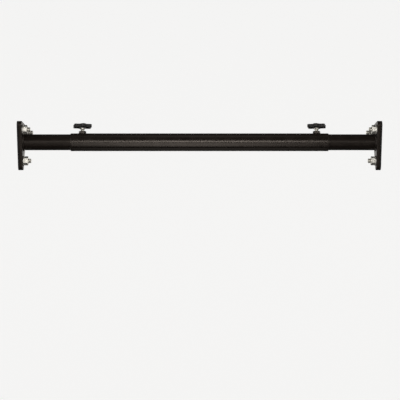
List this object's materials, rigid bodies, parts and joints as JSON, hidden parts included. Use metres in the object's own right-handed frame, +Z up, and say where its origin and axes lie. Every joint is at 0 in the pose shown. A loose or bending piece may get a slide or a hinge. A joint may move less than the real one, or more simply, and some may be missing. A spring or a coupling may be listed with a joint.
{
  "type": "pull up bar",
  "caption": "Telescopic doorway pull up bar: a steel grip tube, sliding arms with bolted wall flanges, and star knobs that lock the length.",
  "frame": {"origin": "middle of the span between the walls, on the common axis of the tubes", "axes": "+X along the bar towards the right-hand wall, -Y is the front that a user faces, +Z up with the star knobs on top"},
  "size_m": [0.772, 0.078, 0.101],
  "materials": {
    "black_powder_coat": "semi-gloss warm black powder coat on steel",
    "zinc_plate": "bright zinc plated steel",
    "knob_plastic": "fine textured black moulded plastic",
    "pad_rubber": "matt black rubber sheet",
    "grey_nylon": "natural grey nylon",
    "brass": "turned brass"
  },
  "bodies": {
    "grip": {"grip_tube": "black_powder_coat", "left_weld_nut": "black_powder_coat", "left_weld_nut_bead": "black_powder_coat", "right_weld_nut": "black_powder_coat", "right_weld_nut_bead": "black_powder_coat"},
    "left_slider": {"left_glide_plug": "grey_nylon"},
    "left_arm": {"left_arm_tube": "black_powder_coat", "left_flange_plate": "black_powder_coat", "left_wall_pad": "pad_rubber", "left_flange_weld": "black_powder_coat", "left_top_front_stud": "zinc_plate", "left_top_front_washer": "zinc_plate", "left_top_front_nut": "zinc_plate", "left_top_rear_stud": "zinc_plate", "left_top_rear_washer": "zinc_plate", "left_top_rear_nut": "zinc_plate", "left_bottom_stud": "zinc_plate", "left_bottom_washer": "zinc_plate", "left_bottom_nut": "zinc_plate"},
    "left_clamp": {"left_clamp_pad": "brass"},
    "left_knob": {"left_lock_screw": "zinc_plate", "left_knob_bush": "zinc_plate", "left_star_knob": "knob_plastic", "left_knob_cap": "knob_plastic"},
    "right_slider": {"right_glide_plug": "grey_nylon"},
    "right_arm": {"right_arm_tube": "black_powder_coat", "right_flange_plate": "black_powder_coat", "right_wall_pad": "pad_rubber", "right_flange_weld": "black_powder_coat", "right_top_front_stud": "zinc_plate", "right_top_front_washer": "zinc_plate", "right_top_front_nut": "zinc_plate", "right_top_rear_stud": "zinc_plate", "right_top_rear_washer": "zinc_plate", "right_top_rear_nut": "zinc_plate", "right_bottom_stud": "zinc_plate", "right_bottom_washer": "zinc_plate", "right_bottom_nut": "zinc_plate"},
    "right_clamp": {"right_clamp_pad": "brass"},
    "right_knob": {"right_lock_screw": "zinc_plate", "right_knob_bush": "zinc_plate", "right_star_knob": "knob_plastic", "right_knob_cap": "knob_plastic"}
  },
  "joints": [
    {"name": "left_arm_slide", "type": "slide", "parent": "grip", "child": "left_slider", "axis": [-1, 0, 0], "range_m": [-0.087, 0.069]},
    {"name": "left_arm_swivel", "type": "hinge", "parent": "left_slider", "child": "left_arm", "pos_m": [-0.2, 0, 0], "axis": [-1, 0, 0], "continuous": true},
    {"name": "left_clamp_lift", "type": "slide", "parent": "grip", "child": "left_clamp", "axis": [0, 0, 1], "range_m": [0, 0.0025]},
    {"name": "left_knob_turn", "type": "hinge", "parent": "left_clamp", "child": "left_knob", "pos_m": [-0.2503, 0, 0.035], "axis": [0, 0, 1], "range_deg": [0, 720]},
    {"name": "right_arm_slide", "type": "slide", "parent": "grip", "child": "right_slider", "axis": [1, 0, 0], "range_m": [-0.087, 0.069]},
    {"name": "right_arm_swivel", "type": "hinge", "parent": "right_slider", "child": "right_arm", "pos_m": [0.2, 0, 0], "axis": [1, 0, 0], "continuous": true},
    {"name": "right_clamp_lift", "type": "slide", "parent": "grip", "child": "right_clamp", "axis": [0, 0, 1], "range_m": [0, 0.0025]},
    {"name": "right_knob_turn", "type": "hinge", "parent": "right_clamp", "child": "right_knob", "pos_m": [0.2503, 0, 0.035], "axis": [0, 0, 1], "range_deg": [0, 720]}
  ],
  "couplings": [
    {"joint": "left_knob_turn", "follows": "left_clamp_lift", "rad_per_m": 5026.5},
    {"joint": "right_knob_turn", "follows": "right_clamp_lift", "rad_per_m": 5026.5}
  ]
}
